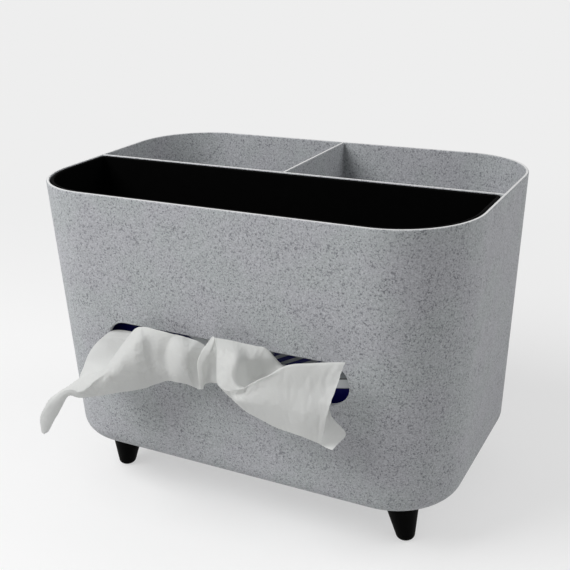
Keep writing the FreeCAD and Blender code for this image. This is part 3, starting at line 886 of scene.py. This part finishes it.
# %% [markdown]
# ## The print on the film
# The print is a plain one: a navy wave with a white band along its crest and a dull silver ground
# with slanting navy bars. Between band and ground runs a thin dark line, painted shade of a crease
# in the film. Each shape is a mask that depends on the height above the crest, and the masks
# choose between the inks and that painted shade. The film itself is glossy and finely creased.

# %% Printed film
NAVY = (0.002, 0.002, 0.075, 1)
FILM_WHITE = grey(0.72, -0.03)
SILVER_DARK, SILVER_LIGHT = grey(0.20, -0.06), grey(0.30, -0.06)
# painted shade: the thin dark line stands in for the shade of a crease in the film
CREASE_SHADE_GREY = grey(0.05)
WAVE_MIDDLE, WAVE_HEIGHT = 93 * MM, 12 * MM
WAVE_LENGTH, WAVE_START = 230 * MM, 75 * MM
WAVE_EDGE = 0.3 * MM
# heights above the crest
SILVER_RISE = (4.4 * MM, 4.8 * MM)
CREASE_SHADE_RISE, CREASE_SHADE_FALL = (4.0 * MM, 4.3 * MM), (4.7 * MM, 5.1 * MM)
BAR_RISE = (6.5 * MM, 7.5 * MM)
# bars along X, and how far they lean along X for each part up
BAR_SPAN = ((22 * MM, 24 * MM), (45 * MM, 47 * MM))
BAR_START, BAR_PITCH, BAR_RUN = 28 * MM, 8 * MM, 2.1
BAR_CUT = (-0.3, 0.0)
HAZE_PATCH, HAZE_CUT = 14 * MM, (0.35, 0.65)
FILM_CREASE, FILM_CREASE_DEPTH = 7 * MM, 0.6 * MM


def make_film():
    finish = Finish("printed_film", Specular_IOR_Level=0.25, Coat_Weight=0.12, Coat_Roughness=0.2)
    place = finish.place()
    x, z = finish.axis(place, "X"), finish.axis(place, "Z")
    wave = ((x + WAVE_START) * (2 * math.pi / WAVE_LENGTH) + math.pi / 2).sine()
    above = z - (wave * WAVE_HEIGHT + WAVE_MIDDLE)
    sea = 1 - above.smooth_step(-WAVE_EDGE, WAVE_EDGE)
    slant = x - (z - WAVE_MIDDLE) * BAR_RUN - BAR_START
    bars = (slant * (2 * math.pi / BAR_PITCH)).sine().smooth_step(*BAR_CUT)
    bars = bars * (x.within(*BAR_SPAN) * above.smooth_step(*BAR_RISE))
    haze = finish.noise(HAZE_PATCH, detail=3)
    silver = finish.mix(haze.smooth_step(*HAZE_CUT), SILVER_DARK, SILVER_LIGHT)
    ground = finish.mix(above.smooth_step(*SILVER_RISE), FILM_WHITE, silver)
    # the thin dark line here is painted shade of a crease in the film
    ground = finish.mix(above.within(CREASE_SHADE_RISE, CREASE_SHADE_FALL) * 0.8, ground, CREASE_SHADE_GREY)
    finish.set("Base Color", finish.mix(finish.math("MAXIMUM", sea, bars), ground, NAVY))
    finish.set("Roughness", 0.3 + haze * 0.15)
    finish.bump(finish.noise(FILM_CREASE, detail=3, distortion=1.2), FILM_CREASE_DEPTH, 0.6)
    return finish


film = make_film()
bag.data.materials.append(film.material)
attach(bag, "body")
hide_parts("refill_film")
print("print: a wave", WAVE_LENGTH / MM, "mm long, bars", BAR_PITCH / MM, "mm apart")

# %% [markdown]
# ## The bag's crimped ends
# A soft pack is a tube of film whose two ends are pressed shut between toothed bars. Each end
# is left with a ribbed strip that has a zigzag cut edge and is folded flat on the pack. One
# grid whose rows rise and fall by a sine makes the strip, so Geometry Nodes fit here too, and
# a copy turned half round closes the other end.

# %% Crimped ends
SEAL_LENGTH, SEAL_WIDTH = 76 * MM, 10 * MM
SEAL_CUTS = (38, 128)
SEAL_LIFT = 0.5 * MM
SEAL_FILM = 0.12 * MM
RIB_PITCH, RIB_HEIGHT = 1.6 * MM, 0.18 * MM
TOOTH_PITCH, TOOTH_DEPTH = 2.4 * MM, 0.7 * MM
TOOTH_ROOT = 1.5 * MM  # how far in from the edge the teeth begin
SAG, SAG_SCALE = 0.3 * MM, 60.0
SEAL_SEED = 4


def seal_tree():
    tree = Tree("crimped_ends", {
        "Length": ("NodeSocketFloat", SEAL_LENGTH),
        "Width": ("NodeSocketFloat", SEAL_WIDTH),
        "Reach": ("NodeSocketFloat", 0.09),
        "Seed": ("NodeSocketFloat", float(SEAL_SEED)),
    })
    width = tree.given("Width")
    grid = tree.node("GeometryNodeMeshGrid", inputs={
        "Size X": width, "Size Y": tree.given("Length"),
        "Vertices X": SEAL_CUTS[0], "Vertices Y": SEAL_CUTS[1],
    })
    place = tree.node("GeometryNodeInputPosition")
    across, along = tree.axis(place, "X"), tree.axis(place, "Y")
    rib = (across * (2 * math.pi / RIB_PITCH)).sine() * RIB_HEIGHT
    sag = tree.node(
        "ShaderNodeTexNoise",
        {"noise_dimensions": "4D"},
        {"Vector": place, "W": tree.given("Seed"), "Scale": SAG_SCALE, "Detail": 1.0},
    )
    edge = tree.math("MAXIMUM", (across - width * 0.5 + TOOTH_ROOT) / TOOTH_ROOT, 0.0)
    tooth = tree.math("PINGPONG", along, TOOTH_PITCH / 2) * (2 * TOOTH_DEPTH / TOOTH_PITCH)
    bent = tree.vector(X=tree.given("Reach") + rib + sag * SAG, Y=across - edge * tooth, Z=along)
    strip = tree.node("GeometryNodeSetPosition", inputs={"Geometry": grid, "Position": bent})
    turned = tree.node(
        "GeometryNodeTransform", inputs={"Geometry": strip, "Rotation": (0.0, 0.0, math.pi)}
    )
    both = tree.node("GeometryNodeJoinGeometry", inputs={0: strip})
    tree.fill(both.socket.node.inputs[0], turned)
    tree.end(both, film.material)
    return tree


def make_seals():
    seals = seal_tree().make("refill_crimped_ends", Reach=bag_high.x + SEAL_LIFT)
    middle = (bag_low + bag_high) / 2
    seals.data.transform(Matrix.Translation(Vector((0.0, middle.y, middle.z))))
    thick = seals.modifiers.new("thick", "SOLIDIFY")
    thick.thickness = SEAL_FILM
    thick.offset = 0.0
    apply_modifiers(seals)
    shade_smooth(seals)
    return seals


seals = make_seals()
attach(seals, "body")
seal_reach = max(vertex.co.x for vertex in seals.data.vertices)
print(f"crimped ends: {len(seals.data.polygons)} faces, {seal_reach / MM:.2f} mm from the middle")

# %% [markdown]
# ## Floor, light and camera
# A pale floor runs out to a background of the same brightness. It glows only for the rays that
# show it, and bounces light on the box as plain paper would. The light is a soft studio: a
# wide lamp at the front left and a second one at the right, over an even glow from all round.

# %% Floor
BACKGROUND = 0.855
FLOOR_HALF = 3.0
FLOOR_BOUNCE = 0.7
FLOOR_SEEN = 0.95
NEAR_HAZE = 0.5
NEAR_FLOOR, FAR_FLOOR = 0.22, 0.75


def seen_ray(graph):
    """1 on the rays that show a surface: from the camera, off gloss and through clear film."""
    seen = graph.node("ShaderNodeLightPath", output="Is Camera Ray")
    for kind in ("Is Glossy Ray", "Is Transmission Ray"):
        seen = graph.math("MAXIMUM", seen, graph.node("ShaderNodeLightPath", output=kind))
    return seen


def make_floor():
    finish = Finish("floor_paper", Roughness=0.95, Specular_IOR_Level=0.0)
    seen = seen_ray(finish)
    finish.set("Base Color", finish.mix(seen, grey(FLOOR_BOUNCE), grey(FLOOR_SEEN)))
    distance = finish.node(
        "ShaderNodeVectorMath", {"operation": "LENGTH"}, {0: finish.place()}, output="Value"
    )
    away = distance.smooth_step(NEAR_FLOOR, FAR_FLOOR)
    paper = finish.mix(away, grey(1.0), grey(BACKGROUND))
    haze = (away * (1 - NEAR_HAZE) + NEAR_HAZE) * seen
    finish.cover(haze, finish.node("ShaderNodeEmission", inputs={"Color": paper}))
    half = FLOOR_HALF
    corners = [(-half, -half, 0), (half, -half, 0), (half, half, 0), (-half, half, 0)]
    floor = make_object("floor", corners, [(0, 1, 2, 3)])
    floor.data.materials.append(finish.material)


make_floor()
print("floor", 2 * FLOOR_HALF, "m across")

# %% World
WORLD_GLOW = 0.29


def make_world():
    world = bpy.data.worlds.new("studio")
    world.use_nodes = True
    sky = Graph(world.node_tree)
    glow = sky.tree.nodes["Background"]
    glow.inputs["Color"].default_value = grey(1.0)
    glow.inputs["Strength"].default_value = WORLD_GLOW
    seen = sky.node("ShaderNodeBackground", inputs={"Color": grey(BACKGROUND)})
    camera_ray = sky.node("ShaderNodeLightPath", output="Is Camera Ray")
    mixed = sky.node(
        "ShaderNodeMixShader", inputs={0: camera_ray, 1: Wire(sky, glow.outputs[0]), 2: seen}
    )
    sky.fill(sky.tree.nodes["World Output"].inputs["Surface"], mixed)
    bpy.context.scene.world = world


make_world()
print("world glow", WORLD_GLOW)

# %% Lamps
def point_at(thing, place, target, roll=0.0):
    """Stands a lamp or camera at place, looking at target, turned about its own view line."""
    back = (place - target).normalized()
    right = (-back).cross(Vector((0, 0, 1))).normalized()
    up = back.cross(right)
    turned_right = right * math.cos(roll) + up * math.sin(roll)
    turned_up = up * math.cos(roll) - right * math.sin(roll)
    turn = Matrix((turned_right, turned_up, back)).transposed()
    thing.matrix_world = Matrix.Translation(place) @ turn.to_4x4()


def around(target, azimuth, elevation, distance):
    """A place seen from the target: azimuth 0 is straight in front, towards -Y."""
    azimuth, elevation = math.radians(azimuth), math.radians(elevation)
    level = math.cos(elevation)
    direction = Vector(
        (math.sin(azimuth) * level, -math.cos(azimuth) * level, math.sin(elevation))
    )
    return target + direction * distance


def make_lamp(name, azimuth, elevation, distance, size, watts):
    data = bpy.data.lights.new(name, "AREA")
    data.shape = "DISK"
    data.size = size
    data.energy = watts
    lamp = bpy.data.objects.new(name, data)
    bpy.context.scene.collection.objects.link(lamp)
    middle = Vector((0, 0, RIM_Z / 2))
    point_at(lamp, around(middle, azimuth, elevation, distance), middle)
    print(name, watts, "W")


make_lamp("key_left", azimuth=-42, elevation=46, distance=0.9, size=0.6, watts=6.1)
make_lamp("fill_right", azimuth=112, elevation=36, distance=1.0, size=0.6, watts=2.35)

# %% Camera
FRAME_PIXELS = 570
CAMERA_AZIMUTH = 27.45
CAMERA_ELEVATION = 21.91
CAMERA_DISTANCE = 0.4727
CAMERA_ROLL = math.radians(-1.522)
CAMERA_TARGET = Vector((0, 0, 0.09328))
CAMERA_SHIFT = (-0.0070, 0.0281)
FOCAL_PIXELS = 913.14
SENSOR_MM = 36.0
NEAREST = 0.01


def make_camera():
    data = bpy.data.cameras.new("camera")
    data.sensor_width = SENSOR_MM
    data.lens = SENSOR_MM * FOCAL_PIXELS / FRAME_PIXELS
    data.shift_x, data.shift_y = CAMERA_SHIFT
    data.clip_start = NEAREST
    camera = bpy.data.objects.new("camera", data)
    bpy.context.scene.collection.objects.link(camera)
    place = around(CAMERA_TARGET, CAMERA_AZIMUTH, CAMERA_ELEVATION, CAMERA_DISTANCE)
    point_at(camera, place, CAMERA_TARGET, CAMERA_ROLL)
    bpy.context.scene.camera = camera
    print("camera at", [round(c, 4) for c in place], f"lens {data.lens:.2f} mm")


make_camera()
bpy.context.scene.view_settings.view_transform = "Standard"
